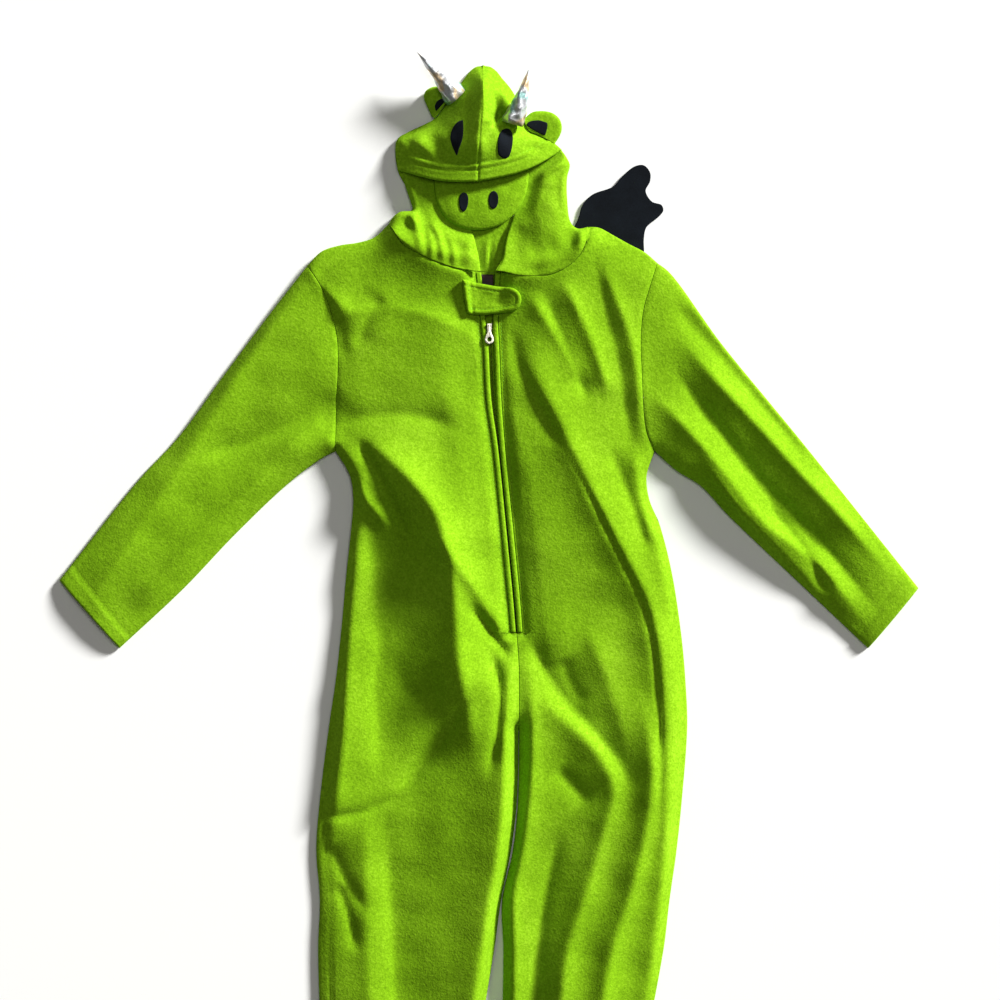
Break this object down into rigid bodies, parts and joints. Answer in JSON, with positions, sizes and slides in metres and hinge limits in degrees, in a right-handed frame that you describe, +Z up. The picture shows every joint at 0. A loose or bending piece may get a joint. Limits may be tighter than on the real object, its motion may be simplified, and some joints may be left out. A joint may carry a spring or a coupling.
{
  "type": "dragon costume",
  "caption": "Child's hooded fleece one-piece dragon suit laid flat, with zip front, neck tab, horns, ears, snout and felt wings.",
  "frame": {"origin": "on the floor, under the middle of the back at hip height, on the flat underside that the suit rests on", "axes": "+Z up from the floor, +X to the right of a viewer who looks down on the laid-out suit, +Y from the legs towards the hood"},
  "size_m": [0.973, 1.262, 0.0464],
  "materials": {
    "fleece": "brushed polyester fleece, lime green",
    "black_felt": "pressed felt, matt",
    "silver_lame": "stuffed silver foil lame, glossy",
    "zip_tape": "woven polyester tape",
    "zip_metal": "cast zinc, pale lacquer",
    "label": "woven satin, bare"
  },
  "bodies": {
    "suit": {"back": "fleece", "front_left": "fleece", "front_right": "fleece", "sleeve_left": "fleece", "sleeve_right": "fleece", "zip_welt_left": "fleece", "zip_welt_right": "fleece", "hood_back": "fleece", "hood_flap_left": "fleece", "hood_flap_right": "fleece", "hood_crown_left": "fleece", "hood_crown_right": "fleece", "neck_tab": "fleece", "snout": "fleece", "ear_left": "fleece", "ear_right": "fleece", "wing_left": "black_felt", "wing_right": "black_felt", "eye_left": "black_felt", "eye_right": "black_felt", "nostril_left": "black_felt", "nostril_right": "black_felt", "ear_inner_left": "black_felt", "ear_inner_right": "black_felt", "horn_left": "silver_lame", "horn_right": "silver_lame", "zip_tape_left": "zip_tape", "zip_tape_right": "zip_tape", "zip_slider": "zip_metal", "neck_label": "label"},
    "pull": {"zip_pull": "zip_metal"}
  },
  "joints": [
    {"name": "zip_pull_swing", "type": "hinge", "parent": "suit", "child": "pull", "pos_m": [-0.012, 0.356, 0.01361], "axis": [-1, 0, 0], "range_deg": [0, 120]}
  ]
}
